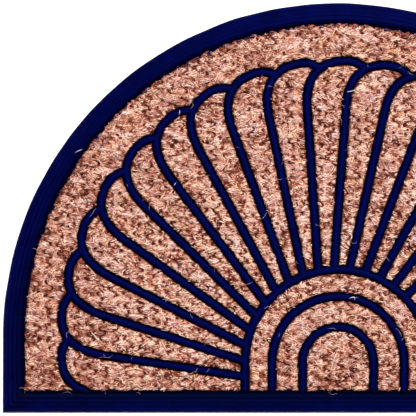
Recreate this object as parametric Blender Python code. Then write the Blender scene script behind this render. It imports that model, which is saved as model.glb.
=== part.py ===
import math

import bmesh
import bpy
from mathutils import Vector

# Half round doormat: a moulded rubber tray with raised fan ribs and woven coir inlays.
# Metres, +Z up. The origin is under the middle of the mat, the straight edge faces -Y.

# Overall size: a straight edge, short straight sides and a half circle
width = 0.762
depth = 0.4655
arcRadius = width / 2
arcFullness = 0.0030
arcSegments = 56
edgeY = -depth / 2
arcY = edgeY + depth - arcRadius

# Tray heights, from the floor
edgeTop = 0.0030
backingTop = 0.0032
ribTop = 0.0086
ribRoot = 0.0006
coirGap = 0.0003
coirTop = 0.0096

# Border: distances in from the outer edge, and its ridges as steps inward and upward
borderWidth = 0.0234
coirInset = 0.0252
ribLap = 0.0012
borderSteps = (
    (0.0012, 0.0016),
    (0.0030, 0.0014),
    (0.0034, 0.0010),
    (0.0012, -0.0005),
    (0.0034, 0.0010),
    (0.0012, -0.0005),
    (0.0034, 0.0010),
    (0.0012, -0.0005),
    (0.0030, 0.0013),
    (0.0024, 0.0000),
)
lipSlope = 0.0004

# Fan
fanY = edgeY + 0.0567
archRadii = {"outer": 0.1054, "middle": 0.0751, "inner": 0.0404}
ribWidth = 0.0070
grooveWidth = 0.0100
hookCount = 22
firstHook = -1
hookSteps = 7
kneeSteps = 3
archSteps = 24
borderLead = Vector((0.006, -0.006))
footAngle = math.radians(188.95)
hookAngle = math.radians(183.6)
hookPitch = math.radians(9.63)
crownRadius = 0.3156
crownY = edgeY + 0.0844
baseShift = -0.0037
baseDepth = 0.0500
flankPull = 0.0438
apexPull = 0.0212
apexShift = 0.0489
endShift = 0.0716
endDepth = 0.0086

# Modelling allowances
cutMargin = 0.002
weldDistance = 0.00002
flatAngle = math.radians(0.3)
centreMargin = 0.004
firstPetalAngle = math.radians(197)


def clearScene():
    for ob in list(bpy.data.objects):
        bpy.data.objects.remove(ob, do_unlink=True)


def makeCollection(name):
    col = bpy.data.collections.new(name)
    bpy.context.scene.collection.children.link(col)
    return col


def makeMaterial(name, color, roughness):
    mat = bpy.data.materials.new(name)
    mat.use_nodes = True
    shader = mat.node_tree.nodes["Principled BSDF"]
    shader.inputs["Base Color"].default_value = (*color, 1.0)
    shader.inputs["Roughness"].default_value = roughness
    shader.inputs["Metallic"].default_value = 0.0
    return mat


def matOutline(inset):
    # Straight edge, straight sides, then the half circle, all moved in by the inset.
    # The arc is a little fuller than a circle on its diagonals.
    half = arcRadius - inset
    pts = [(-half, edgeY + inset), (half, edgeY + inset)]
    for i in range(arcSegments + 1):
        a = math.pi * i / arcSegments
        r = arcRadius * (1 + arcFullness * math.sin(2 * a) ** 2) - inset
        pts.append((r * math.cos(a), arcY + r * math.sin(a)))
    return pts


def onCrown(index, shift, drop):
    # A point given by its clockwise shift along the crown circle and its depth below it
    a = hookAngle - hookPitch * index - shift / crownRadius
    r = crownRadius - drop
    return Vector((r * math.cos(a), crownY + r * math.sin(a)))


def hookPath(index):
    # One ray with its round cap, which leans clockwise and ends on the next ray
    th = footAngle - hookPitch * index
    foot = Vector((archRadii["outer"] * math.cos(th), fanY + archRadii["outer"] * math.sin(th)))
    base = onCrown(index, baseShift, baseDepth)
    apex = onCrown(index, apexShift, 0.0)
    end = onCrown(index, endShift, endDepth)
    along = (base - foot).normalized()
    a = hookAngle - hookPitch * index - apexShift / crownRadius
    side = Vector((math.sin(a), -math.cos(a)))
    pts = [foot]
    for i in range(hookSteps + 1):
        t = i / hookSteps
        p = base * (1 - t) ** 3 + (base + along * flankPull) * 3 * (1 - t) ** 2 * t
        p += (apex - side * apexPull) * 3 * (1 - t) * t ** 2 + apex * t ** 3
        pts.append(p)
    knee = apex + side * (endShift - apexShift) * 0.5
    for i in range(1, kneeSteps + 1):
        t = i / kneeSteps
        pts.append(apex * (1 - t) ** 2 + knee * 2 * (1 - t) * t + end * t ** 2)
    return pts


def archPath(radius):
    # A half circle on two straight legs that run down under the border
    low = edgeY + borderWidth * 0.5
    pts = [Vector((radius, low))]
    for i in range(archSteps + 1):
        a = math.pi * i / archSteps
        pts.append(Vector((radius * math.cos(a), fanY + radius * math.sin(a))))
    pts.append(Vector((-radius, low)))
    return pts


def flatOutline(name, pts, low, high, collection):
    # A closed flat outline with straight walls, made as a filled 2D curve and then a mesh
    curve = bpy.data.curves.new(name, "CURVE")
    curve.dimensions = "2D"
    curve.fill_mode = "BOTH"
    curve.extrude = (high - low) / 2
    spline = curve.splines.new("POLY")
    spline.points.add(len(pts) - 1)
    for point, p in zip(spline.points, pts):
        point.co = (p[0], p[1], 0.0, 1.0)
    spline.use_cyclic_u = True
    guide = bpy.data.objects.new(name + "_curve", curve)
    guide.location.z = (high + low) / 2
    collection.objects.link(guide)
    bpy.context.view_layer.update()
    graph = bpy.context.evaluated_depsgraph_get()
    mesh = bpy.data.meshes.new_from_object(guide.evaluated_get(graph))
    place = guide.matrix_world.copy()
    bpy.data.objects.remove(guide, do_unlink=True)
    bm = bmesh.new()
    bm.from_mesh(mesh)
    bmesh.ops.remove_doubles(bm, verts=bm.verts, dist=weldDistance / 2)
    bmesh.ops.recalc_face_normals(bm, faces=bm.faces)
    bm.to_mesh(mesh)
    bm.free()
    ob = bpy.data.objects.new(name, mesh)
    ob.matrix_world = place
    collection.objects.link(ob)
    return ob


def widen(path, thickness):
    # The two sides of a rib of even thickness along its centre line, mitred at the bends
    half = thickness / 2
    left = []
    right = []
    for i, p in enumerate(path):
        before = (p - path[i - 1]).normalized() if i else (path[1] - p).normalized()
        after = (path[i + 1] - p).normalized() if i < len(path) - 1 else before
        across = Vector((-(before + after).y, (before + after).x)).normalized()
        reach = half / max(0.5, across.dot(Vector((-before.y, before.x))))
        left.append(p + across * reach)
        right.append(p - across * reach)
    return left + right[::-1]


def hideCutter(ob):
    ob.hide_render = True
    ob.display_type = "WIRE"


def makeRibs(prefix, thickness, low, high):
    # Every rib of the fan, each as its own cutter in one collection
    col = makeCollection(prefix)
    for i in range(hookCount):
        path = hookPath(firstHook + i)
        if i == 0:
            # Its ray would lie under the border, so only the cap shows, and it starts in the border
            path = [path[3] + borderLead] + path[3:]
        hideCutter(flatOutline(f"{prefix}_hook_{i + 1:02d}", widen(path, thickness), low, high, col))
    for name, radius in archRadii.items():
        hideCutter(flatOutline(f"{prefix}_arch_{name}", widen(archPath(radius), thickness), low, high, col))
    return col


def addBoolean(ob, operation, target):
    mod = ob.modifiers.new(operation.title(), "BOOLEAN")
    mod.operation = operation
    mod.solver = "EXACT"
    if isinstance(target, bpy.types.Collection):
        mod.operand_type = "COLLECTION"
        mod.collection = target
    else:
        mod.object = target


def applyModifiers(ob):
    bpy.context.view_layer.update()
    graph = bpy.context.evaluated_depsgraph_get()
    mesh = bpy.data.meshes.new_from_object(ob.evaluated_get(graph))
    ob.modifiers.clear()
    old = ob.data
    ob.data = mesh
    bpy.data.meshes.remove(old)


def placeInMesh(ob):
    ob.data.transform(ob.matrix_world)
    ob.matrix_world.identity()


def weld(mesh):
    bm = bmesh.new()
    bm.from_mesh(mesh)
    bmesh.ops.remove_doubles(bm, verts=bm.verts, dist=weldDistance)
    bmesh.ops.dissolve_limit(bm, angle_limit=flatAngle, verts=bm.verts, edges=bm.edges)
    bmesh.ops.triangulate(bm, faces=bm.faces)
    bm.to_mesh(mesh)
    bm.free()


def makeNetwork(ribs, cutters):
    # All ribs joined, and trimmed so that their ends stay just inside the border's lip
    network, *others = list(ribs.objects)
    rest = makeCollection("ribs_to_join")
    for ob in others:
        ribs.objects.unlink(ob)
        rest.objects.link(ob)
    network.name = "rib_network"
    addBoolean(network, "UNION", rest)
    applyModifiers(network)
    trim = flatOutline(
        "rib_trim", matOutline(borderWidth - ribLap), edgeTop - cutMargin, ribTop + cutMargin, cutters
    )
    hideCutter(trim)
    addBoolean(network, "INTERSECT", trim)
    applyModifiers(network)
    ribs.objects.unlink(network)
    cutters.objects.link(network)
    return network


def makeTray(collection, material, network):
    # The backing block grows a ridged border and a sunken floor from its top face, by insets
    ob = flatOutline("rubber_tray", matOutline(0.0), 0.0, edgeTop, collection)
    placeInMesh(ob)
    bm = bmesh.new()
    bm.from_mesh(ob.data)
    bmesh.ops.dissolve_limit(bm, angle_limit=flatAngle, verts=bm.verts, edges=bm.edges)
    top = max((f for f in bm.faces if f.normal.z > 0.9), key=lambda f: f.calc_area())
    for inward, upward in borderSteps:
        bmesh.ops.inset_region(bm, faces=[top], thickness=inward, depth=upward, use_even_offset=True)
    floorDrop = top.calc_center_median().z - backingTop
    bmesh.ops.inset_region(bm, faces=[top], thickness=lipSlope, depth=-floorDrop, use_even_offset=True)
    bm.to_mesh(ob.data)
    bm.free()
    ob.data.materials.append(material)
    addBoolean(ob, "UNION", network)
    applyModifiers(ob)
    weld(ob.data)


def looseParts(mesh):
    # Splits a mesh into the meshes of its separate bodies
    bm = bmesh.new()
    bm.from_mesh(mesh)
    left = set(bm.faces)
    groups = []
    while left:
        stack = [left.pop()]
        group = {stack[0]}
        while stack:
            face = stack.pop()
            for edge in face.edges:
                for other in edge.link_faces:
                    if other in left:
                        left.remove(other)
                        group.add(other)
                        stack.append(other)
        groups.append(group)
    parts = []
    for group in groups:
        piece = bmesh.new()
        made = {}
        for face in sorted(group, key=lambda f: f.index):
            for vert in face.verts:
                if vert.index not in made:
                    made[vert.index] = piece.verts.new(vert.co)
            piece.faces.new([made[v.index] for v in face.verts])
        part = bpy.data.meshes.new("coir_piece")
        piece.to_mesh(part)
        piece.free()
        parts.append(part)
    bm.free()
    return parts


def makeCoir(collection, material, grooves):
    # One woven sheet is cut by the widened ribs, and each piece becomes its own inlay
    sheet = flatOutline("coir_sheet", matOutline(coirInset), backingTop + coirGap, coirTop, collection)
    placeInMesh(sheet)
    addBoolean(sheet, "DIFFERENCE", grooves)
    applyModifiers(sheet)
    weld(sheet.data)
    pieces = []
    for mesh in looseParts(sheet.data):
        xs = [v.co.x for v in mesh.vertices]
        ys = [v.co.y for v in mesh.vertices]
        middle = Vector(((min(xs) + max(xs)) / 2, (min(ys) + max(ys)) / 2))
        pieces.append({"mesh": mesh, "middle": middle, "wide": max(xs) - min(xs), "far": max(ys)})
    bpy.data.objects.remove(sheet, do_unlink=True)
    pieces.sort(key=lambda piece: -piece["wide"])
    pieces[0]["name"] = "coir_field"
    archTop = fanY + archRadii["outer"]
    centred = [p for p in pieces if abs(p["middle"].x) < centreMargin and p["far"] < archTop]
    for piece, label in zip(centred, ("outer_band", "inner_band", "core")):
        piece["name"] = f"coir_{label}"

    def turned(piece):
        # how far clockwise a petal lies from the lower left
        up = piece["middle"].y - fanY
        return (firstPetalAngle - math.atan2(up, piece["middle"].x)) % (2 * math.pi)

    petals = sorted((p for p in pieces if "name" not in p), key=turned)
    for i, piece in enumerate(petals):
        piece["name"] = f"coir_petal_{i + 1:02d}"
    for piece in pieces:
        piece["mesh"].name = piece["name"]
        piece["mesh"].materials.append(material)
        collection.objects.link(bpy.data.objects.new(piece["name"], piece["mesh"]))


clearScene()
doormat = makeCollection("half_round_doormat")
cutters = makeCollection("cutters")
navyRubber = makeMaterial("navy_rubber", (0.0016, 0.0024, 0.042), 0.55)
coirYarn = makeMaterial("coir_yarn", (0.50, 0.24, 0.18), 0.95)
ribs = makeRibs("rib", ribWidth, backingTop - ribRoot, ribTop)
network = makeNetwork(ribs, cutters)
makeTray(doormat, navyRubber, network)
grooves = makeRibs("groove", grooveWidth, backingTop - cutMargin, coirTop + cutMargin)
makeCoir(doormat, coirYarn, grooves)
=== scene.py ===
import math
import bmesh
import bpy
import numpy as np
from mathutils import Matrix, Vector, geometry, noise
from mathutils.bvhtree import BVHTree


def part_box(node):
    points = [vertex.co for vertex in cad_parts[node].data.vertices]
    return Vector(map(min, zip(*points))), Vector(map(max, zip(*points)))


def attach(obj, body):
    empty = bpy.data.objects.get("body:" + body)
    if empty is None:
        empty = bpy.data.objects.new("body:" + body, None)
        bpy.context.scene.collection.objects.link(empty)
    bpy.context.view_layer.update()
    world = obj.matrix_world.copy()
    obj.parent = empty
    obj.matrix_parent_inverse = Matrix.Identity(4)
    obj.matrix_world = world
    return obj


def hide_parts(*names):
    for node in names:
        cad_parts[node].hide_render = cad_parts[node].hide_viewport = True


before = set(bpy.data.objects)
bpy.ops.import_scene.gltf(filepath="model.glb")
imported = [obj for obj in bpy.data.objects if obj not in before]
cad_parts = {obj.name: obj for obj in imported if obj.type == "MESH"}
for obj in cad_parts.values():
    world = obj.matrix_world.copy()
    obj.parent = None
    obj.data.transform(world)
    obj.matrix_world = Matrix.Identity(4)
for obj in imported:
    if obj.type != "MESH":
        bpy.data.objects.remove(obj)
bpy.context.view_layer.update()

# Half round doormat: navy rubber tray with fan ribs, woven coir inlays. Metres throughout.
trayLow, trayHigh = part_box("rubber_tray")
mat = {
    "edgeY": trayLow.y,  # the straight edge
    "radius": (trayHigh.x - trayLow.x) / 2,
    "arcY": trayHigh.y - (trayHigh.x - trayLow.x) / 2,  # centre of the half circle
    "floorTop": 0.0032,  # rubber under the coir
    "ribTop": 0.0086,
    "fullness": 0.0030,  # the arc bulges a little past a circle on its diagonals
    "lipInset": 0.0234,  # where the border ends
    "coirInset": 0.0252,  # where the coir starts
    "seed": 11,
}
fan = {
    "centreY": trayLow.y + 0.0567,
    "archRadii": (0.1058, 0.0751, 0.0404),
    "ribWidth": 0.0072,
    "grooveWidth": 0.0106,
    "firstHook": -1,
    "hookCount": 22,
    "footAngle": math.radians(188.95),
    "hookAngle": math.radians(183.6),
    "hookPitch": math.radians(9.63),
    "crownRadius": 0.3156,
    "crownY": trayLow.y + 0.0844,
    "base": (-0.0037, 0.0500),  # clockwise shift along the crown, depth below it
    "apexShift": 0.0489,
    "end": (0.0716, 0.0086),
    "flankPull": 0.0438,
    "apexPull": 0.0212,
    "capSteps": 18,
}


def rideAs(ob, slotName, *nodes):
    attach(ob, "root")
    if nodes:
        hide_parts(*nodes)
    return ob


def addObject(name, mesh, material):
    mesh.name = name
    mesh.materials.clear()
    mesh.materials.append(material)
    ob = bpy.data.objects.new(name, mesh)
    bpy.context.scene.collection.objects.link(ob)
    return ob


# Outline and fan, as points in plan

def matOutline(inset, segments=180):
    half = mat["radius"] - inset
    pts = [Vector((-half, mat["edgeY"] + inset)), Vector((half, mat["edgeY"] + inset))]
    for i in range(segments + 1):
        a = math.pi * i / segments
        r = mat["radius"] * (1 + mat["fullness"] * math.sin(2 * a) ** 2) - inset
        pts.append(Vector((r * math.cos(a), mat["arcY"] + r * math.sin(a))))
    return pts


def onCrown(index, shift, drop):
    a = fan["hookAngle"] - fan["hookPitch"] * index - shift / fan["crownRadius"]
    r = fan["crownRadius"] - drop
    return Vector((r * math.cos(a), fan["crownY"] + r * math.sin(a)))


def hookPath(index):
    # a ray from the outer arch with its round cap, which leans clockwise onto the next ray
    th = fan["footAngle"] - fan["hookPitch"] * index
    reach = fan["archRadii"][0]
    foot = Vector((reach * math.cos(th), fan["centreY"] + reach * math.sin(th)))
    base = onCrown(index, *fan["base"])
    apex = onCrown(index, fan["apexShift"], 0.0)
    end = onCrown(index, *fan["end"])
    along = (base - foot).normalized()
    a = fan["hookAngle"] - fan["hookPitch"] * index - fan["apexShift"] / fan["crownRadius"]
    side = Vector((math.sin(a), -math.cos(a)))
    pts = []
    for i in range(fan["capSteps"] + 1):
        t = i / fan["capSteps"]
        p = base * (1 - t) ** 3 + (base + along * fan["flankPull"]) * 3 * (1 - t) ** 2 * t
        p += (apex - side * fan["apexPull"]) * 3 * (1 - t) * t ** 2 + apex * t ** 3
        pts.append(p)
    knee = apex + side * (fan["end"][0] - fan["apexShift"]) * 0.5
    for i in range(1, 7):
        t = i / 6
        pts.append(apex * (1 - t) ** 2 + knee * 2 * (1 - t) * t + end * t ** 2)
    if index == fan["firstHook"]:  # its ray would lie under the border
        pts = pts[5:]
        return [pts[0] + Vector((0.006, -0.006))] + pts
    return [foot, foot.lerp(base, 0.5)] + pts


def archPath(radius, steps=64):
    low = mat["edgeY"] + mat["lipInset"] * 0.5
    pts = [Vector((radius, low))]
    for i in range(steps + 1):
        a = math.pi * i / steps
        pts.append(Vector((radius * math.cos(a), fan["centreY"] + radius * math.sin(a))))
    return pts + [Vector((-radius, low))]


def allRibs():
    hooks = [hookPath(fan["firstHook"] + i) for i in range(fan["hookCount"])]
    return hooks + [archPath(r) for r in fan["archRadii"]]


def widen(path, thickness):
    half = thickness / 2
    left = []
    right = []
    for i, p in enumerate(path):
        before = (p - path[i - 1]).normalized() if i else (path[1] - p).normalized()
        after = (path[i + 1] - p).normalized() if i < len(path) - 1 else before
        across = Vector((-(before + after).y, (before + after).x)).normalized()
        reach = half / max(0.5, across.dot(Vector((-before.y, before.x))))
        left.append(p + across * reach)
        right.append(p - across * reach)
    return left + right[::-1]


def slab(name, pts, low, high):
    # a flat outline with straight walls
    bm = bmesh.new()
    face = bm.faces.new([bm.verts.new((p.x, p.y, low)) for p in pts])
    up = bmesh.ops.extrude_face_region(bm, geom=[face])
    top = [v for v in up["geom"] if isinstance(v, bmesh.types.BMVert)]
    bmesh.ops.translate(bm, verts=top, vec=(0, 0, high - low))
    bmesh.ops.recalc_face_normals(bm, faces=bm.faces)
    mesh = bpy.data.meshes.new(name)
    bm.to_mesh(mesh)
    bm.free()
    ob = bpy.data.objects.new(name, mesh)
    bpy.context.scene.collection.objects.link(ob)
    return ob


def cutWith(ob, operation, others):
    # joins, trims or cuts with each of the others, then keeps the result
    col = bpy.data.collections.new("forBoolean")
    for other in others:
        bpy.context.scene.collection.objects.unlink(other)
        col.objects.link(other)
    bpy.context.scene.collection.children.link(col)
    mod = ob.modifiers.new("Boolean", "BOOLEAN")
    mod.operation = operation
    mod.solver = "EXACT"
    mod.operand_type = "COLLECTION"
    mod.collection = col
    bpy.context.view_layer.update()
    mesh = bpy.data.meshes.new_from_object(ob.evaluated_get(bpy.context.evaluated_depsgraph_get()))
    ob.modifiers.clear()
    ob.data = mesh
    for other in others:
        bpy.data.objects.remove(other)
    bpy.data.collections.remove(col)
    return ob


# Maps of the plan: how far in from the edge, and how far from the nearest rib

planMap = {"left": -0.395, "low": -0.245, "step": 0.0005, "wide": 1580, "high": 980, "reach": 0.014}


def insetAt(x, y):
    up = y - mat["arcY"]
    full = mat["radius"] * (1 + mat["fullness"] * np.sin(2 * np.arctan2(up, x)) ** 2)
    side = np.where(up > 0, full - np.hypot(x, up), mat["radius"] - np.abs(x))
    return np.minimum(side, y - mat["edgeY"])


def mapRibs():
    m = planMap
    far = np.full((m["high"], m["wide"]), m["reach"], np.float32)
    gap = int(m["reach"] / m["step"])
    for path in allRibs():
        for a, b in zip(path[:-1], path[1:]):
            count = max(1, int((b - a).length / 0.0008))
            for i in range(count + 1):
                p = a.lerp(b, i / count)
                col = int((p.x - m["left"]) / m["step"])
                row = int((p.y - m["low"]) / m["step"])
                r0, r1 = max(0, row - gap), min(m["high"], row + gap)
                c0, c1 = max(0, col - gap), min(m["wide"], col + gap)
                if r0 >= r1 or c0 >= c1:
                    continue
                dy = (np.arange(r0, r1) * m["step"] + m["low"] - p.y)[:, None]
                dx = (np.arange(c0, c1) * m["step"] + m["left"] - p.x)[None, :]
                here = np.hypot(dx, dy).astype(np.float32)
                np.minimum(far[r0:r1, c0:c1], here, out=far[r0:r1, c0:c1])
    return far


def readMap(field, x, y):
    m = planMap
    fx = np.clip((x - m["left"]) / m["step"], 0, m["wide"] - 1.001)
    fy = np.clip((y - m["low"]) / m["step"], 0, m["high"] - 1.001)
    ix, iy = fx.astype(int), fy.astype(int)
    tx, ty = fx - ix, fy - iy
    low = field[iy, ix] * (1 - tx) + field[iy, ix + 1] * tx
    high = field[iy + 1, ix] * (1 - tx) + field[iy + 1, ix + 1] * tx
    return low * (1 - ty) + high * ty


ribMap = mapRibs()
random = np.random.default_rng(mat["seed"])


def drift(reachX, reachY):
    # a smooth random map with spots of about this size, even in strength
    rough = random.normal(0, 1, (planMap["high"], planMap["wide"])).astype(np.float32)
    for axis, reach in ((0, reachY), (1, reachX)):
        size = int(3 * reach / planMap["step"])
        bell = np.exp(-0.5 * (np.arange(-size, size + 1) * planMap["step"] / reach) ** 2)
        rough = np.apply_along_axis(np.convolve, axis, rough, bell / bell.sum(), "same")
    return rough / rough.std()


ragged = {
    "map": drift(0.0022, 0.0022),
    "atBorder": 0.0006,
    "atRibs": 0.0003,
    "top": 0.0008,
    "rowPitch": 0.0097,  # the woven rows end in steps
    "rowSway": 0.25,
    "step": 0.38,
    "fringe": 0.0006,  # fibres reach this much further over the border than over the ribs' grooves
    "fringeDepth": 0.0040,
}


def raggedAt(x, y):
    # how far the coir reaches out past its even edge at the border, most at the top of the arc
    up = (y - mat["arcY"]) / mat["radius"]
    rise = np.clip(up, 0, 1)
    sway = readMap(ragged["map"], x, y)
    row = (y - mat["edgeY"]) / ragged["rowPitch"] + ragged["rowSway"] * sway
    step = (row - np.round(row)) * ragged["rowPitch"] * ragged["step"] * rise
    return ragged["atBorder"] * sway + ragged["top"] * rise ** 4 + step


def coirDepth(x, y):
    # how far inside a coir inlay a point lies, and below zero outside
    atRibs = readMap(ribMap, x, y) - fan["grooveWidth"] / 2 + ragged["atRibs"] * readMap(ragged["map"], x, y)
    return np.minimum(atRibs, insetAt(x, y) - mat["coirInset"] + raggedAt(x, y))


print("plan maps ready")

# Shared shader parts


def newMaterial(name):
    material = bpy.data.materials.new(name)
    material.use_nodes = True
    return material, material.node_tree.nodes, material.node_tree.links


def streakGroup():
    # fine lengthwise fibre marks, stretched along one direction of the object's own coordinates
    tree = bpy.data.node_groups.new("fibreStreaks", "ShaderNodeTree")
    tree.interface.new_socket("Turn", in_out="INPUT", socket_type="NodeSocketVector")
    tree.interface.new_socket("Fineness", in_out="INPUT", socket_type="NodeSocketFloat")
    tree.interface.new_socket("Streak", in_out="OUTPUT", socket_type="NodeSocketFloat")
    n, l = tree.nodes, tree.links
    ins = n.new("NodeGroupInput")
    outs = n.new("NodeGroupOutput")
    coord = n.new("ShaderNodeTexCoord")
    wobble = n.new("ShaderNodeTexNoise")
    wobble.inputs["Scale"].default_value = 90
    wobble.inputs["Detail"].default_value = 2
    bend = n.new("ShaderNodeVectorMath")
    bend.operation = "MULTIPLY_ADD"
    bend.inputs[1].default_value = (0.006, 0.006, 0.0)
    turn = n.new("ShaderNodeMapping")
    turn.vector_type = "TEXTURE"
    stretch = n.new("ShaderNodeVectorMath")
    stretch.operation = "MULTIPLY"
    stretch.inputs[1].default_value = (0.16, 1.0, 1.0)
    fine = n.new("ShaderNodeTexNoise")
    fine.inputs["Detail"].default_value = 3
    fine.inputs["Roughness"].default_value = 0.6
    l.new(coord.outputs["Object"], wobble.inputs["Vector"])
    l.new(wobble.outputs["Color"], bend.inputs[0])
    l.new(coord.outputs["Object"], bend.inputs[2])
    l.new(bend.outputs["Vector"], turn.inputs["Vector"])
    l.new(ins.outputs["Turn"], turn.inputs["Rotation"])
    l.new(turn.outputs["Vector"], stretch.inputs[0])
    l.new(stretch.outputs["Vector"], fine.inputs["Vector"])
    l.new(ins.outputs["Fineness"], fine.inputs["Scale"])
    l.new(fine.outputs["Fac"], outs.inputs["Streak"])
    return tree


def rampStops(ramp, stops):
    ramp.color_ramp.interpolation = "LINEAR"
    while len(ramp.color_ramp.elements) > 2:
        ramp.color_ramp.elements.remove(ramp.color_ramp.elements[-1])
    for i, (place, color) in enumerate(stops):
        element = ramp.color_ramp.elements[i] if i < 2 else ramp.color_ramp.elements.new(place)
        element.position = place
        element.color = (*color, 1)


coirLook = {
    "shades": (
        (0.00, (0.020, 0.003, 0.002)),
        (0.08, (0.070, 0.014, 0.009)),
        (0.22, (0.270, 0.066, 0.036)),
        (0.50, (0.700, 0.378, 0.305)),
        (0.75, (0.900, 0.605, 0.510)),
        (0.93, (0.945, 0.715, 0.625)),
        (1.00, (0.960, 0.880, 0.830)),
    ),
    "orange": (1.05, 0.98, 0.74),
    "mauve": (0.94, 0.97, 1.10),
    "navy": (0.002, 0.004, 0.055),
    "roughness": 0.8,
}


def mixNode(n, kind, factor=None, a=None, b=None):
    node = n.new("ShaderNodeMix")
    node.data_type = "RGBA"
    node.blend_type = kind
    if factor is not None:
        node.inputs["Factor"].default_value = factor
    if a:
        node.inputs["A"].default_value = (*a, 1)
    if b:
        node.inputs["B"].default_value = (*b, 1)
    return node


def coirMaterial(name, turn, fineness, streakShare, bumpDepth):
    material, n, l = newMaterial(name)
    shader = n["Principled BSDF"]
    marks = {}
    for key in ("tone", "hue", "coat"):
        marks[key] = n.new("ShaderNodeAttribute")
        marks[key].attribute_name = key
    streak = n.new("ShaderNodeGroup")
    streak.node_tree = streaks
    streak.inputs["Turn"].default_value = (0, 0, turn)
    streak.inputs["Fineness"].default_value = fineness
    centred = n.new("ShaderNodeMath")
    centred.operation = "SUBTRACT"
    centred.inputs[1].default_value = 0.5
    share = n.new("ShaderNodeMath")
    share.operation = "MULTIPLY_ADD"
    share.inputs[1].default_value = streakShare
    shade = n.new("ShaderNodeValToRGB")
    rampStops(shade, coirLook["shades"])
    tint = mixNode(n, "MIX", None, coirLook["orange"], coirLook["mauve"])
    tinted = mixNode(n, "MULTIPLY", 1.0)
    dipped = mixNode(n, "MIX", None, None, coirLook["navy"])
    bump = n.new("ShaderNodeBump")
    bump.inputs["Strength"].default_value = 0.7
    bump.inputs["Distance"].default_value = bumpDepth
    l.new(streak.outputs["Streak"], centred.inputs[0])
    l.new(centred.outputs[0], share.inputs[0])
    l.new(marks["tone"].outputs["Fac"], share.inputs[2])
    l.new(share.outputs[0], shade.inputs["Fac"])
    l.new(marks["hue"].outputs["Fac"], tint.inputs["Factor"])
    l.new(shade.outputs["Color"], tinted.inputs["A"])
    l.new(tint.outputs["Result"], tinted.inputs["B"])
    l.new(tinted.outputs["Result"], dipped.inputs["A"])
    l.new(marks["coat"].outputs["Fac"], dipped.inputs["Factor"])
    l.new(dipped.outputs["Result"], shader.inputs["Base Color"])
    l.new(streak.outputs["Streak"], bump.inputs["Height"])
    l.new(bump.outputs["Normal"], shader.inputs["Normal"])
    shader.inputs["Roughness"].default_value = coirLook["roughness"]
    shader.inputs["Specular IOR Level"].default_value = 0.08
    return material


rubberLook = {
    "dark": (0.0002, 0.0002, 0.020),
    "light": (0.0004, 0.0010, 0.048),
    "crown": (0.0002, 0.0010, 0.052),  # a painted highlight on the tops of the ribs
    # painted shade in the grooves, beside the ribs' crowns and on the border's inner half
    "groove": (0.0002, 0.0003, 0.008),
    "crownFrom": 0.0066,
    "crownTo": 0.0086,
    "roughness": (0.42, 0.66),
    "specular": 0.035,
}


def rubberMaterial():
    material, n, l = newMaterial("navyRubber")
    shader = n["Principled BSDF"]
    coord = n.new("ShaderNodeTexCoord")
    broad = n.new("ShaderNodeTexNoise")
    broad.inputs["Scale"].default_value = 60
    broad.inputs["Detail"].default_value = 5
    broad.inputs["Roughness"].default_value = 0.7
    fine = n.new("ShaderNodeTexNoise")
    fine.inputs["Scale"].default_value = 900
    fine.inputs["Detail"].default_value = 3
    shade = n.new("ShaderNodeValToRGB")
    rampStops(shade, ((0.32, rubberLook["dark"]), (0.68, rubberLook["light"])))
    place = n.new("ShaderNodeSeparateXYZ")
    # painted highlight: the ribs' tops, picked out by height, take the lighter crown colour in patches
    high = n.new("ShaderNodeMapRange")
    high.inputs["From Min"].default_value = rubberLook["crownFrom"]
    high.inputs["From Max"].default_value = rubberLook["crownTo"]
    toneShift = n.new("ShaderNodeMath")
    toneShift.operation = "MULTIPLY"
    crown = mixNode(n, "MIX", None, None, rubberLook["crown"])
    # painted shade: the groove mark mixes in the near-black groove colour
    dusk = mixNode(n, "MIX", None, None, rubberLook["groove"])
    low = n.new("ShaderNodeAttribute")
    low.attribute_name = "groove"
    rough = n.new("ShaderNodeMapRange")
    rough.inputs["To Min"].default_value = rubberLook["roughness"][0]
    rough.inputs["To Max"].default_value = rubberLook["roughness"][1]
    waves = n.new("ShaderNodeTexNoise")
    waves.inputs["Scale"].default_value = 160
    waves.inputs["Detail"].default_value = 2
    total = n.new("ShaderNodeMath")
    total.operation = "MULTIPLY_ADD"
    total.inputs[1].default_value = 0.35
    bump = n.new("ShaderNodeBump")
    bump.inputs["Strength"].default_value = 0.5
    bump.inputs["Distance"].default_value = 0.0006
    for texture in (broad, fine, waves, place):
        l.new(coord.outputs["Object"], texture.inputs["Vector"])
    l.new(broad.outputs["Fac"], shade.inputs["Fac"])
    l.new(place.outputs["Z"], high.inputs["Value"])
    l.new(high.outputs["Result"], toneShift.inputs[0])
    l.new(broad.outputs["Fac"], toneShift.inputs[1])
    l.new(toneShift.outputs[0], crown.inputs["Factor"])
    l.new(shade.outputs["Color"], crown.inputs["A"])
    l.new(crown.outputs["Result"], dusk.inputs["A"])
    l.new(low.outputs["Fac"], dusk.inputs["Factor"])
    l.new(dusk.outputs["Result"], shader.inputs["Base Color"])
    l.new(fine.outputs["Fac"], rough.inputs["Value"])
    l.new(rough.outputs["Result"], shader.inputs["Roughness"])
    l.new(fine.outputs["Fac"], total.inputs[0])
    l.new(waves.outputs["Fac"], total.inputs[2])
    l.new(total.outputs[0], bump.inputs["Height"])
    l.new(bump.outputs["Normal"], shader.inputs["Normal"])
    shader.inputs["Specular IOR Level"].default_value = rubberLook["specular"]
    shader.inputs["Specular Tint"].default_value = (0.15, 0.35, 1.0, 1)
    return material


streaks = streakGroup()
navyRubber = rubberMaterial()
coirCloth = coirMaterial("coirCloth", math.radians(-24), 900, 1.1, 0.0006)
coirFibre = coirMaterial("coirFibre", math.radians(-20), 1500, 0.55, 0.0002)

# Rubber tray

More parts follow.
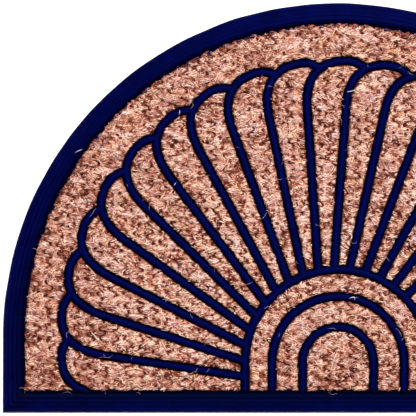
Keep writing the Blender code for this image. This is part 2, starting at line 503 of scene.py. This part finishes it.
tray = {
    "edgeHeight": 0.0020,
    "profile": (
        # inset from the edge, height: a rounded edge, the sloping border and its inner lip
        (0.0000, 0.0020),
        (0.0008, 0.0033),
        (0.0027, 0.0044),
        (0.0100, 0.0068),
        (0.0160, 0.0079),
        (0.0188, 0.0079),
        (0.0208, 0.0068),
        (0.0222, 0.0049),
        (0.0231, 0.0034),
    ),
    "ridgeFirst": 0.0027,  # four shallow ridges run round the border
    "ridgePitch": 0.00493,
    "ridgeRise": 0.00042,
    "ringStep": 0.00055,
    "lipSlope": 0.0003,
    "ribRoot": 0.0006,
    "ribLap": 0.0010,
    "ribSteps": ((0.0002, 0.0008), (0.0004, 0.0007), (0.0006, 0.0006), (0.0007, 0.0003), (0.0007, 0.0001)),
    "edgeWobble": 0.0007,
    "grooveFrom": 0.0212,  # painted shade darkens the rubber beside the ribs' crowns
    "duskFrom": 0.0060,  # and the border's inner half, most along the straight edge
    "duskEnd": (0.0246, 0.0262),  # there the ribs' ends darken too
    "dusk": {"edge": 1.0, "side": 0.80, "top": 0.15},
    "lineShade": 0.32,  # painted shade in the valleys between the ridges
    "crownHalf": 0.0002,
    "crownFade": 0.0056,
    "shoulder": 0.0058,
}


def borderHeight(inset):
    insets, heights = zip(*tray["profile"])
    phase = 2 * math.pi * (inset - tray["ridgeFirst"]) / tray["ridgePitch"]
    fade = max(0, min(1, inset / 0.002, (0.0208 - inset) / 0.002))
    return float(np.interp(inset, insets, heights)) + tray["ridgeRise"] * fade * math.cos(phase)


def raiseTop(ob, steps):
    # draws the top face in and up by steps
    bm = bmesh.new()
    bm.from_mesh(ob.data)
    bm.faces.ensure_lookup_table()
    top = max(bm.faces, key=lambda f: f.calc_center_median().z)
    for inward, upward in steps:
        bmesh.ops.inset_region(bm, faces=[top], thickness=inward, depth=upward, use_even_offset=True)
    bm.to_mesh(ob.data)
    bm.free()
    return ob


def makeTray():
    ob = slab("rubberTray", matOutline(0.0), 0.0, tray["edgeHeight"])
    rings = round(tray["profile"][-1][0] / tray["ringStep"])
    heights = [tray["edgeHeight"]] + [borderHeight((i + 1) * tray["ringStep"]) for i in range(rings)]
    steps = [(tray["ringStep"], high - low) for low, high in zip(heights[:-1], heights[1:])]
    return raiseTop(ob, steps + [(tray["lipSlope"], mat["floorTop"] - heights[-1])])


def makeRibs():
    # round-topped ribs, joined, with their ends trimmed inside the border
    ribs = []
    shoulder = mat["ribTop"] - sum(up for _, up in tray["ribSteps"])
    for i, path in enumerate(allRibs()):
        outline = widen(path, fan["ribWidth"])
        rib = slab(f"rib{i}", outline, mat["floorTop"] - tray["ribRoot"], shoulder)
        ribs.append(raiseTop(rib, tray["ribSteps"]))
    network = cutWith(ribs[0], "UNION", ribs[1:])
    trim = slab("trim", matOutline(mat["lipInset"] - tray["ribLap"]), 0.001, 0.02)
    return cutWith(network, "INTERSECT", [trim])


rubber = makeTray()
ribNetwork = makeRibs()
rubber = cutWith(rubber, "UNION", [ribNetwork])
bm = bmesh.new()
bm.from_mesh(rubber.data)
bmesh.ops.remove_doubles(bm, verts=bm.verts, dist=0.00002)
bmesh.ops.triangulate(bm, faces=[f for f in bm.faces if len(f.verts) > 4])
for vert in bm.verts:  # the moulded edge is a little uneven
    p = vert.co
    if insetAt(p.x, p.y) < 0.006:
        sway = noise.noise(Vector((p.x * 30, p.y * 30, 0.3))) * tray["edgeWobble"]
        centre = Vector((0, max(mat["edgeY"] + 0.05, min(p.y, mat["arcY"])), 0))
        outward = Vector((p.x, p.y - centre.y, 0))
        if outward.length > 0.01:
            vert.co += outward.normalized() * sway
for reach in tray["duskEnd"]:
    everything = list(bm.verts) + list(bm.edges) + list(bm.faces)
    line = (0, mat["edgeY"] + reach, 0)
    bmesh.ops.bisect_plane(bm, geom=everything, dist=0.00001, plane_co=line, plane_no=(0, 1, 0))
# painted shade: the groove mark darkens the border's inner half, the valleys between its ridges, the ribs'
# shoulders and grooves, and the ribs' ends at the straight edge
groove = bm.verts.layers.float.new("groove")
for vert in bm.verts:
    p = vert.co
    inset = float(insetAt(p.x, p.y))
    up = max(0, (p.y - mat["arcY"]) / mat["radius"])
    straight = inset > p.y - mat["edgeY"] - 0.0001
    dusk = tray["dusk"]["edge"] if straight else tray["dusk"]["side"] * (1 - up) + tray["dusk"]["top"] * up
    fade = (inset - tray["duskFrom"]) / (tray["grooveFrom"] - tray["duskFrom"])
    valley = 0.5 - 0.5 * math.cos(2 * math.pi * (inset - tray["ridgeFirst"]) / tray["ridgePitch"])
    shaded = max(0, min(1, fade)) ** 0.7 * dusk
    vert[groove] = 1 - (1 - shaded) * (1 - tray["lineShade"] * valley ** 2)
    if inset > tray["grooveFrom"]:
        across = float(readMap(ribMap, np.array([p.x]), np.array([p.y]))[0])
        share = (across - tray["crownHalf"]) / tray["crownFade"]
        vert[groove] = max(0, min(1, share if p.z > tray["shoulder"] else 1))
        if straight and inset < sum(tray["duskEnd"]) / 2:
            vert[groove] = 1
for face in bm.faces:
    face.smooth = True
bm.to_mesh(rubber.data)
bm.free()
rubber.data.set_sharp_from_angle(angle=math.radians(40))
rubber.data.materials.clear()
rubber.data.materials.append(navyRubber)
rideAs(rubber, "rubber", "rubber_tray")
print("rubber tray", len(rubber.data.polygons))

# Woven coir: the cloth of each inlay

weave = {
    "rowPitch": 0.00641,
    "floatPitch": 0.0297,  # along a row, with each second row half a pitch on
    "shear": 0.039,  # the floats of each row lie a little further left than those two rows below
    "wander": (0.0016, 0.0008),  # the rows and floats drift by this much along and across
    "halfLength": 0.0100,
    "halfWidth": 0.0035,
    "tilt": math.radians(1),
    "tiltSpread": math.radians(9),
    "rise": 0.0014,  # how far the floats bulge
    "low": 0.0076,  # height where a float's foot would be
    "pitPlace": (-0.0108, 0.0106),  # a dark pit at each end of a float
    "pitHalf": (0.0015, 0.0019),
    "pitSway": (0.0009, 0.0008),
    "pitDepth": 0.0028,
    "seam": (-0.20, 0.24),  # a thin dark seam round each float: where on its bow, and how wide
    "seamShare": (0.25, 0.95),  # at its middle and at its ends
    "edgeTop": 0.0056,
    "edgeRound": 0.0036,
    "spacing": 0.0018,
    "under": 0.0035,
    "rimShade": 0.0020,
}
rows = 80
columns = 34
floats = {
    "x": random.normal(0, 0.0009, (rows, columns)),
    "y": random.normal(0, 0.0004, (rows, columns)),
    "tilt": weave["tilt"] + random.normal(0, 1, (rows, columns)) * weave["tiltSpread"],
    "rise": random.uniform(0.6, 1.2, (rows, columns)),
    "tone": random.normal(0, 1, (rows, columns)),
    "seam": random.uniform(0.1, 1.1, (rows, columns)),
    "pits": (random.uniform(0.2, 1.3, (rows, columns)), random.uniform(0.0, 1.1, (rows, columns))),
    "pitX": random.normal(0, weave["pitSway"][0], (2, rows, columns)),
    "pitY": random.normal(0, weave["pitSway"][1], (2, rows, columns)),
}


def weaveAt(x, y):
    # height of the weave, its pits, the tilt and tone of the float on top, and how far up a float
    up = y - mat["edgeY"]
    swayX = weave["wander"][0] * np.sin(x * 17 + 1.3 * np.sin(y * 23)) * np.cos(y * 19 + 0.7)
    swayY = weave["wander"][1] * np.sin(x * 13 - 0.4) * np.cos(y * 21 + 1.1 * np.sin(x * 15))
    along = x + weave["shear"] * up + swayX + 0.42
    up = up + swayY
    rise = np.zeros(x.shape)
    pit = np.zeros(x.shape)
    upFloat = np.full(x.shape, -9.0)
    tilt = np.full(x.shape, weave["tilt"])
    tone = np.zeros(x.shape)
    rowNear = np.floor(up / weave["rowPitch"]).astype(int)
    for row in (rowNear, rowNear + 1):
        shift = np.where(row % 2 == 0, 0.0, 0.5)
        col = np.round(along / weave["floatPitch"] - shift).astype(int)
        key = (np.clip(row + 2, 0, rows - 1), np.clip(col, 0, columns - 1))
        a = floats["tilt"][key]
        dx = along - (col + shift) * weave["floatPitch"] - floats["x"][key]
        dy = up - row * weave["rowPitch"] - floats["y"][key]
        u = dx * np.cos(a) + dy * np.sin(a)
        v = dy * np.cos(a) - dx * np.sin(a)
        bow = (u / weave["halfLength"]) ** 2 + (v / weave["halfWidth"]) ** 2
        better = 1 - bow > upFloat
        upFloat = np.where(better, 1 - bow, upFloat)
        rise = np.where(better, np.clip(1 - bow, 0, 1) * floats["rise"][key], rise)
        tilt = np.where(better, a, tilt)
        tone = np.where(better, floats["tone"][key], tone)
        for end, place in enumerate(weave["pitPlace"]):
            pu = (u - place - floats["pitX"][end][key]) / weave["pitHalf"][0]
            pv = (v - floats["pitY"][end][key]) / weave["pitHalf"][1]
            pit = np.maximum(pit, np.exp(-(pu ** 2) - pv ** 2) * floats["pits"][end][key])
        share = np.interp(np.abs(u) / weave["halfLength"], (0, 1), weave["seamShare"]) * floats["seam"][key]
        seam = np.exp(-(((1 - bow - weave["seam"][0]) / weave["seam"][1]) ** 2)) * share
        pit = np.maximum(pit, seam)
    return weave["rise"] * rise - weave["pitDepth"] * pit, pit, tilt, tone, np.clip(upFloat, 0, 1)


bundles = {
    "clumps": drift(0.0034, 0.0014),  # slow light and dark drifts, mostly along the rows
    "clumpShare": 0.14,
    "parting": drift(0.0024, 0.0014),  # where it crosses zero, the bundles part
    "partingWidth": 0.24,
    "strength": drift(0.0040, 0.0030),
    "strengthFrom": -0.1,
    "hues": drift(0.0045, 0.0030),
    "lay": drift(0.0040, 0.0024),  # fibres that lie side by side turn the same way
    "layTurn": math.radians(18),
    "uprightShare": 0.3,  # between the floats, fibres of the crossing yarn
    "floatShade": 0.13,
}


def mapPits():
    xs = np.arange(planMap["wide"]) * planMap["step"] + planMap["left"]
    ys = np.arange(planMap["high"]) * planMap["step"] + planMap["low"]
    return weaveAt(*np.meshgrid(xs, ys))[1]


pitMap = mapPits()


def gapAt(x, y):
    # the pits of the weave and short curved gaps between the bundles of fibre, 1 where they are deepest
    gap = np.exp(-((readMap(bundles["parting"], x, y) / bundles["partingWidth"]) ** 2))
    gap = gap * np.clip(readMap(bundles["strength"], x, y) - bundles["strengthFrom"], 0, 1)
    return np.maximum(gap, readMap(pitMap, x, y))


def coirTopAt(x, y):
    rise, pit, tilt, tone, upFloat = weaveAt(x, y)
    edge = np.clip((coirDepth(x, y) + 0.0004) / weave["edgeRound"], 0, 1)
    edge = edge * (2 - edge)
    top = weave["edgeTop"] + (weave["low"] + rise - weave["edgeTop"]) * edge
    return top, pit, tone


def resample(loop, step):
    # the same closed outline with points an even step apart
    pts = []
    for a, b in zip(loop, loop[1:] + loop[:1]):
        count = max(1, round((b - a).length / step))
        pts += [a.lerp(b, i / count) for i in range(count)]
    return pts


def topLoops(mesh):
    # the closed outlines of a slab's top faces
    bm = bmesh.new()
    bm.from_mesh(mesh)
    bmesh.ops.remove_doubles(bm, verts=bm.verts, dist=0.00003)
    level = max(v.co.z for v in bm.verts) - 0.0001
    after = {}
    for edge in bm.edges:
        for loop in edge.link_loops:
            upper = loop.face.normal.z > 0.9 and loop.face.calc_center_median().z > level
            others = [f for f in edge.link_faces if f.normal.z > 0.9]
            if upper and len(others) == 1:
                after.setdefault(loop.vert, []).append(loop.link_loop_next.vert)
    loops = []
    while after:
        start = next(iter(after))
        loop = []
        here = start
        while here in after:
            loop.append(Vector(here.co[:2]))
            there = after[here].pop()
            if not after[here]:
                del after[here]
            here = there
        if len(loop) > 8:
            loops.append(loop)
    bm.free()
    return loops


def raggedOutline():
    pts = []
    even = resample(matOutline(mat["coirInset"], 360), weave["spacing"])
    for before, p, after in zip(even[-1:] + even[:-1], even, even[1:] + even[:1]):
        along = (after - before).normalized()
        reach = raggedAt(np.array([p.x]), np.array([p.y]))[0]
        pts.append(p + Vector((along.y, -along.x)) * float(reach))
    return pts


def cellLoops():
    sheet = slab("coirSheet", raggedOutline(), 0.0, 0.01)
    cutters = []
    for i, path in enumerate(allRibs()):
        cutters.append(slab(f"groove{i}", widen(path, fan["grooveWidth"]), -0.002, 0.012))
    cutWith(sheet, "DIFFERENCE", cutters)
    loops = topLoops(sheet.data)
    bpy.data.objects.remove(sheet)
    return loops


def areaOf(loop):
    return sum(a.x * b.y - b.x * a.y for a, b in zip(loop, loop[1:] + loop[:1])) / 2


def innerPoints():
    step = weave["spacing"]
    xs = np.arange(-0.365, 0.365, step)
    ys = np.arange(-0.215, 0.215, step * 0.87)
    gx, gy = np.meshgrid(xs, ys)
    gx = gx + (np.arange(len(ys)) % 2)[:, None] * step / 2
    gx = gx + random.uniform(-0.18, 0.18, gx.shape) * step
    gy = gy + random.uniform(-0.18, 0.18, gy.shape) * step
    x, y = gx.ravel(), gy.ravel()
    inside = coirDepth(x, y) > step * 0.55
    return x[inside], y[inside]


cells = [loop for loop in cellLoops() if abs(areaOf(loop)) > 0.0004]
print("coir cells", len(cells), [round(areaOf(c) * 1e6) for c in cells])
gridX, gridY = innerPoints()
print("inner points", len(gridX))


def nodeOf(loop):
    # the CAD inlay that this outline belongs to, by the middle of its box
    xs = [p.x for p in loop]
    ys = [p.y for p in loop]
    middle = Vector(((min(xs) + max(xs)) / 2, (min(ys) + max(ys)) / 2))
    size = Vector((max(xs) - min(xs), max(ys) - min(ys)))

    def off(name):
        low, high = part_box(name)
        there = ((low + high) / 2).to_2d()
        return (there - middle).length + ((high - low).to_2d() - size).length

    return min((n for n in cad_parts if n.startswith("coir")), key=off)


def insideLoop(loop, x, y):
    hits = np.zeros(len(x), bool)
    for a, b in zip(loop, loop[1:] + loop[:1]):
        if a.y == b.y:
            continue
        crosses = (a.y > y) != (b.y > y)
        at = (b.x - a.x) * (y - a.y) / (b.y - a.y) + a.x
        hits ^= crosses & (x < at)
    return hits


def makeCloth(name, loop):
    rim = resample(loop, weave["spacing"])
    near = (gridX > min(p.x for p in rim)) & (gridX < max(p.x for p in rim))
    near &= (gridY > min(p.y for p in rim)) & (gridY < max(p.y for p in rim))
    nx, ny = gridX[near], gridY[near]
    keep = insideLoop(loop, nx, ny)
    pts = rim + [Vector((a, b)) for a, b in zip(nx[keep], ny[keep])]
    around = list(range(len(rim)))
    found = geometry.delaunay_2d_cdt(pts, [], [around], 1, 1e-7)
    flat = np.array([v[:] for v in found[0]])
    top, pit, tone = coirTopAt(flat[:, 0], flat[:, 1])
    mesh = bpy.data.meshes.new(name)
    mesh.from_pydata([(a, b, c) for (a, b), c in zip(flat, top)], [], found[2])
    bm = bmesh.new()
    bm.from_mesh(mesh)
    shade = bm.verts.layers.float.new("tone")
    hue = bm.verts.layers.float.new("hue")
    bm.verts.layers.float.new("coat")
    bm.verts.ensure_lookup_table()
    # painted shade: the cloth is darker in the weave's pits and partings and towards the ribs' grooves
    fromRibs = readMap(ribMap, flat[:, 0], flat[:, 1]) - fan["grooveWidth"] / 2
    rimward = 1 - np.clip(fromRibs / weave["rimShade"], 0, 1)
    gap = gapAt(flat[:, 0], flat[:, 1])
    depthTone = np.clip(0.25 + 0.03 * tone - 0.10 * rimward - 0.31 * gap, 0.0, 1)
    for vert, value in zip(bm.verts, depthTone):
        vert[shade] = float(value)
        vert[hue] = 0.45
    bmesh.ops.recalc_face_normals(bm, faces=bm.faces)
    if sum(f.normal.z for f in bm.faces) < 0:
        bmesh.ops.reverse_faces(bm, faces=bm.faces)
    border = [e for e in bm.edges if e.is_boundary]
    walls = bmesh.ops.extrude_edge_only(bm, edges=border)
    foot = [v for v in walls["geom"] if isinstance(v, bmesh.types.BMVert)]
    # painted shade at the foot of the cloth's walls
    for vert in foot:
        vert.co.z = weave["under"]
        vert[shade] = 0.10
        vert[hue] = 0.45
    low = [e for e in bm.edges if e.is_boundary]
    under = bmesh.ops.edgeloop_fill(bm, edges=low)
    bmesh.ops.triangulate(bm, faces=under["faces"], ngon_method="EAR_CLIP")
    bmesh.ops.recalc_face_normals(bm, faces=bm.faces)
    for face in bm.faces:
        face.smooth = face.normal.z > -0.5
    bm.to_mesh(mesh)
    bm.free()
    return mesh


camel = {n: "coir" + "".join(w.capitalize() for w in n.split("_")[1:]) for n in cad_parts}
cloths = []
for loop in cells:
    if areaOf(loop) < 0:
        loop = loop[::-1]
    node = nodeOf(loop)
    cloth = addObject(camel[node] + "Cloth", makeCloth(camel[node], loop), coirCloth)
    rideAs(cloth, "coir", node)
    cloths.append((node, loop, cloth))
print("coir cloths", len(cloths), sum(len(c.data.polygons) for _, _, c in cloths))

# Coir fibres on the cloth: thick tufts of twisted fibre, and single fibres lying over them

tuft = {
    "perSquareMetre": 330000,
    "points": 4,
    "length": (0.0042, 0.0105),
    "radius": (0.00024, 0.00058),
    "pitClear": 0.85,
    "lean": math.radians(1),
    "spread": math.radians(15),
    "wildShare": 0.12,
    "lift": (0.0002, 0.0008),  # mean and spread above the cloth
    "flick": 0.0010,
    "curl": 10.0,
    "tone": (0.66, 0.17),
    "overhang": (0.0001, 0.0007),
    "gapLimit": (0.15, 0.75),
}
strand = {
    "perSquareMetre": 40000,
    "points": 5,
    "pitClear": 0.5,
    "length": (0.0050, 0.0120),
    "radius": (0.00012, 0.00026),
    "lean": math.radians(0),
    "spread": math.radians(42),
    "wildShare": 0.35,
    "lift": (0.0007, 0.0004),
    "flick": 0.0018,
    "curl": 40.0,
    "tone": (0.68, 0.14),
    "overhang": (0.0, 0.0008),
    "gapLimit": (0.3, 1.5),
}


toneShift = {
    "ring": 0.185,  # the middle of the fan is a little lighter
    "ringHalf": 0.075,
    "lighter": 0.10,
    "strip": 0.045,  # and the strip along the straight edge is darker
    "darker": 0.10,
    "outer": (0.27, 0.08, 0.045),  # as is the field outside the fan: from, over, by
}


def toneShiftAt(x, y):
    around = np.hypot(x, y - fan["centreY"])
    light = toneShift["lighter"] * np.exp(-(((around - toneShift["ring"]) / toneShift["ringHalf"]) ** 2))
    low = np.clip(1 - (y - mat["edgeY"] - mat["coirInset"]) / toneShift["strip"], 0, 1)
    begin, over, by = toneShift["outer"]
    return light - toneShift["darker"] * low - by * np.clip((around - begin) / over, 0, 1)


def spotsIn(loop, perSquareMetre):
    # random places spread evenly over one inlay
    low = np.array([min(p.x for p in loop), min(p.y for p in loop)])
    high = np.array([max(p.x for p in loop), max(p.y for p in loop)])
    area = float(np.prod(high - low))
    spots = random.uniform(low, high, (int(area * perSquareMetre), 2))
    return spots[insideLoop(loop, spots[:, 0], spots[:, 1])].T


def creptRubber(x, y):
    # round the top of the arc some rubber has crept over the fibres at the border
    near = insetAt(x, y) - mat["coirInset"]
    around = np.degrees(np.arctan2(y - mat["arcY"], x))
    stretch = np.clip(1 - np.abs(around - 95) / 60, 0, 1) ** 0.5
    patchy = 0.5 + 0.5 * np.sin(around * 1.9 + 1.0) * np.sin(around * 0.83)
    reach = 0.0030 * stretch * (0.35 + 0.65 * patchy)
    return (near < reach + random.normal(0, 0.0006, len(x))).astype(float)


def layFibres(loop, kind):
    # the paths of one kind of fibre on an inlay, with their radius, tone, hue and rubber coat
    x, y = spotsIn(loop, kind["perSquareMetre"])
    rise, pit, tilt, tone, upFloat = weaveAt(x, y)
    keep = random.uniform(0, 1, len(x)) < 1 - kind["pitClear"] * np.clip(pit * 1.4, 0, 1)
    x, y, pit, tilt, tone, upFloat = (v[keep] for v in (x, y, pit, tilt, tone, upFloat))
    count = len(x)
    wild = random.uniform(0, 1, count) < kind["wildShare"]
    angle = tilt + kind["lean"] + bundles["layTurn"] * readMap(bundles["lay"], x, y)
    upright = (upFloat < 0.05) & (random.uniform(0, 1, count) < bundles["uprightShare"])
    angle = angle + random.normal(0, kind["spread"], count) + np.where(upright, math.pi / 2, 0)
    angle = np.where(wild, random.uniform(0, math.pi, count), angle)
    length = random.uniform(*kind["length"], count)
    curl = random.normal(0, kind["curl"], count)[:, None]
    cos, sin = np.cos(angle)[:, None], np.sin(angle)[:, None]

    def place(t):
        s = t * length[:, None]
        bend = curl * s * s
        return x[:, None] + cos * s - sin * bend, y[:, None] + sin * s + cos * bend

    # each end is drawn in to where the inlay stops, give or take the overhang
    fine = np.linspace(-0.5, 0.5, 17)
    px, py = place(fine[None, :])
    over = random.normal(*kind["overhang"], count)[:, None]
    fringed = insetAt(x, y) < mat["coirInset"] + ragged["fringeDepth"]
    over = over + (ragged["fringe"] * fringed)[:, None]
    out = (coirDepth(px, py) < -over) | (gapAt(px, py) > random.uniform(*kind["gapLimit"], count)[:, None])
    stop = fine[np.where(out[:, 8:].any(1), np.argmax(out[:, 8:], axis=1) + 8, 16)]
    start = fine[np.where(out[:, :9].any(1), 8 - np.argmax(out[:, 8::-1], axis=1), 0)]
    okay = (stop - start) * length > 0.0018
    steps = np.linspace(0, 1, kind["points"])
    px, py = place(start[:, None] + steps[None] * (stop - start)[:, None])
    top = coirTopAt(px, py)[0]
    arch = np.sin(steps * math.pi) ** 0.7
    lift = -0.0004 + 0.0004 * arch[None] + np.abs(random.normal(*kind["lift"], count))[:, None]
    lift = lift + (random.uniform(0, kind["flick"], count) * wild)[:, None] * steps[None]
    path = np.stack([px, py, top + lift], axis=2)
    # painted shade and light: fibres in the weave's pits are darker, those on a float's middle lighter
    shade = random.normal(*kind["tone"], count) + 0.05 * tone - 0.20 * pit
    shade = shade + bundles["clumpShare"] * readMap(bundles["clumps"], x, y)
    shade = shade + bundles["floatShade"] * (upFloat - 0.45) + toneShiftAt(x, y)
    hue = np.clip(random.normal(0.5, 0.20, count) + 0.13 * readMap(bundles["hues"], x, y), 0, 1)
    radius = random.uniform(*kind["radius"], count)
    coat = creptRubber(x, y)
    kept = (path, radius, np.clip(shade, 0.02, 0.88), hue, coat)
    return [values[okay] for values in kept]


def spindles(name, groups):
    # closed three-sided fibres with pointed ends, along paths of any number of points
    verts, faces, marks = [], [], []
    total = 0
    for path, radius, tone, hue, coat in groups:
        count, steps, _ = path.shape
        along = np.gradient(path, axis=1)
        side = np.cross(along, (0, 0, 1.0))
        side /= np.maximum(np.linalg.norm(side, axis=2, keepdims=True), 1e-9)
        over = np.cross(side, along)
        over /= np.maximum(np.linalg.norm(over, axis=2, keepdims=True), 1e-9)
        swell = np.sin(np.linspace(0, math.pi, steps))[1:-1] ** 0.4
        turn = random.uniform(0, 2 * math.pi, (count, 1))
        ring = []
        for k in range(3):
            a = turn + k * 2 * math.pi / 3
            spoke = side[:, 1:-1] * np.cos(a)[..., None] + over[:, 1:-1] * np.sin(a)[..., None]
            ring.append(path[:, 1:-1] + spoke * (radius[:, None] * swell)[..., None])
        rings = np.stack(ring, axis=2).reshape(count, -1, 3)
        points = np.concatenate([path[:, :1], rings, path[:, -1:]], axis=1)
        each = points.shape[1]
        one = []
        for k in range(3):
            j = (k + 1) % 3
            one.append((0, 1 + j, 1 + k))
            one.append((each - 1, each - 4 + k, each - 4 + j))
            for start in range(1, each - 4, 3):
                a, b = start + k, start + j
                one += [(a, b, b + 3), (a, b + 3, a + 3)]
        first = total + np.arange(count) * each
        verts.append(points.reshape(-1, 3))
        faces.append((np.array(one)[None] + first[:, None, None]).reshape(-1, 3))
        marks.append(np.repeat(np.stack([tone, hue, coat]), each, axis=1))
        total += count * each
    mesh = bpy.data.meshes.new(name)
    mesh.from_pydata(np.concatenate(verts), [], np.concatenate(faces))
    for key, values in zip(("tone", "hue", "coat"), np.concatenate(marks, axis=1)):
        layer = mesh.attributes.new(key, "FLOAT", "POINT")
        layer.data.foreach_set("value", values.astype(np.float32))
    mesh.shade_smooth()
    return mesh


# Loose pale hairs that lie across the ribs and the border

loose = {
    "count": 110,
    "radius": (0.00006, 0.00011),
    "seenRadius": 0.00036,
    "overCoir": 0.0020,
    "length": (0.004, 0.014),
    "points": 9,
    "clear": 0.0004,  # above the rubber or coir
    "seen": (
        # places in plan, from the mat's centre line and straight edge: start, bend, end
        ((0.0120, 0.1290), (0.0210, 0.1345), (0.0185, 0.1270)),
        ((0.0080, 0.3640), (0.0200, 0.3660), (0.0310, 0.3700)),
        ((0.0023, 0.0770), (-0.0060, 0.0600), (-0.0091, 0.0425)),
        ((-0.2813, 0.0912), (-0.2755, 0.0880), (-0.2712, 0.0798)),
        ((-0.2462, 0.0750), (-0.2430, 0.0730), (-0.2405, 0.0693)),
        ((-0.2251, 0.0742), (-0.2215, 0.0760), (-0.2178, 0.0790)),
        ((-0.1805, 0.3385), (-0.1798, 0.3410), (-0.1800, 0.3440)),
        ((-0.1870, 0.2575), (-0.1830, 0.2630), (-0.1850, 0.2600)),
        ((-0.2990, 0.2950), (-0.2960, 0.2980), (-0.2900, 0.2990)),
    ),
}


def looseHairs():
    t = np.linspace(0, 1, loose["points"])[:, None]
    paths = []
    for start, bend, end in loose["seen"]:
        a, b, c = (np.array(p) + (0, mat["edgeY"]) for p in (start, bend, end))
        paths.append(a * (1 - t) ** 2 + b * 2 * t * (1 - t) + c * t * t)
    while len(paths) < loose["count"]:
        x = random.uniform(-mat["radius"], mat["radius"])
        y = random.uniform(mat["edgeY"], -mat["edgeY"])
        at = np.array([x, y])
        deep = float(coirDepth(np.array([x]), np.array([y]))[0])
        if insetAt(np.array([x]), np.array([y]))[0] < 0.014 or not -0.006 < deep < 0.003:
            continue
        angle = random.uniform(0, 2 * math.pi)
        ahead = np.array([math.cos(angle), math.sin(angle)])
        across = np.array([-ahead[1], ahead[0]])
        long = random.uniform(*loose["length"])
        bow = random.normal(0, 0.22) * long
        paths.append(at + ahead * (t - 0.5) * long + across * bow * 4 * t * (1 - t))
    flat = np.stack(paths)
    x, y = flat[..., 0], flat[..., 1]
    deep = coirDepth(x, y)
    rib = mat["ribTop"] - 0.0022 * np.clip((readMap(ribMap, x, y) - 0.002) / 0.0016, 0, 1) ** 2
    border = np.vectorize(borderHeight)(np.clip(insetAt(x, y), 0, tray["profile"][-1][0]))
    ground = np.where(insetAt(x, y) < mat["lipInset"], border, rib)
    high = np.where(deep > 0, coirTopAt(x, y)[0] + loose["overCoir"], ground) + loose["clear"]
    for _ in range(2):  # a hair bridges the narrow grooves
        high[:, 1:-1] = np.maximum(high[:, 1:-1], (high[:, :-2] + high[:, 2:]) / 2)
    path = np.concatenate([flat, high[..., None]], axis=2)
    count = len(path)
    tone = random.uniform(0.6, 0.98, count)
    tone[:len(loose["seen"])] = 1
    radius = random.uniform(*loose["radius"], count)
    radius[:len(loose["seen"])] = loose["seenRadius"]
    return path, radius, tone, np.full(count, 0.5), np.zeros(count)


fibreCount = 0
for node, loop, cloth in cloths:
    name = camel[node] + "Fibres"
    groups = [layFibres(loop, kind) for kind in (tuft, strand)]
    strands = addObject(name, spindles(name, groups), coirFibre)
    rideAs(strands, "coir")
    fibreCount += len(strands.data.polygons)
    if node == "coir_field":
        hairs = addObject("looseHairs", spindles("looseHairs", [looseHairs()]), coirFibre)
        rideAs(hairs, "coir")
    # the cut's flat size: its box, or for a bent piece its own length by its mean width
    xs = [p.x for p in loop]
    ys = [p.y for p in loop]
    boxSize = (max(xs) - min(xs), max(ys) - min(ys))
    area = areaOf(loop)
    if area < 0.3 * boxSize[0] * boxSize[1]:
        longSide = sum((b - a).length for a, b in zip(loop, loop[1:] + loop[:1])) / 2
        boxSize = (area / longSide, longSide)
print("fibre triangles", fibreCount)

# Floor, light and camera

studio = {
    "floor": (0.93, 0.93, 0.93),
    "floorSize": 14.0,
    "viewWidth": 0.4729,  # what the picture spans across, at the mat's top
    "middle": (-0.1478, -0.0003),
    "height": 6.0,
    "world": 0.16,
}


def makeFloor():
    bm = bmesh.new()
    bmesh.ops.create_grid(bm, x_segments=4, y_segments=4, size=studio["floorSize"] / 2)
    bmesh.ops.translate(bm, verts=bm.verts, vec=(0, 0, -0.0002))
    mesh = bpy.data.meshes.new("floor")
    bm.to_mesh(mesh)
    bm.free()
    material, n, l = newMaterial("paleFloor")
    n["Principled BSDF"].inputs["Base Color"].default_value = (*studio["floor"], 1)
    n["Principled BSDF"].inputs["Roughness"].default_value = 0.9
    n["Principled BSDF"].inputs["Specular IOR Level"].default_value = 0.0
    floor = addObject("floor", mesh, material)


def addLight(name, place, target, size, power, color=(1, 1, 1)):
    light = bpy.data.lights.new(name, "AREA")
    light.shape = "DISK"
    light.size = size
    light.energy = power
    light.color = color
    ob = bpy.data.objects.new(name, light)
    ob.location = place
    ob.rotation_euler = (Vector(target) - Vector(place)).to_track_quat("-Z", "Y").to_euler()
    bpy.context.scene.collection.objects.link(ob)


makeFloor()
addLight("keyLight", (2.2, 3.4, 7.0), (0, 0, 0), 2.0, 1120)
addLight("fillLight", (-3.6, -4.2, 6.3), (0, 0, 0), 4.8, 180)
world = bpy.data.worlds.new("studio")
world.use_nodes = True
world.node_tree.nodes["Background"].inputs["Color"].default_value = (1, 1, 1, 1)
world.node_tree.nodes["Background"].inputs["Strength"].default_value = studio["world"]
bpy.context.scene.world = world
bpy.context.scene.view_settings.view_transform = "Standard"

lens = bpy.data.cameras.new("camera")
lens.sensor_width = 36
lens.lens = 36 * studio["height"] / studio["viewWidth"]
lens.clip_end = 100
camera = bpy.data.objects.new("camera", lens)
camera.location = (*studio["middle"], studio["height"] + mat["ribTop"])
bpy.context.scene.collection.objects.link(camera)
bpy.context.scene.camera = camera
print("studio ready")
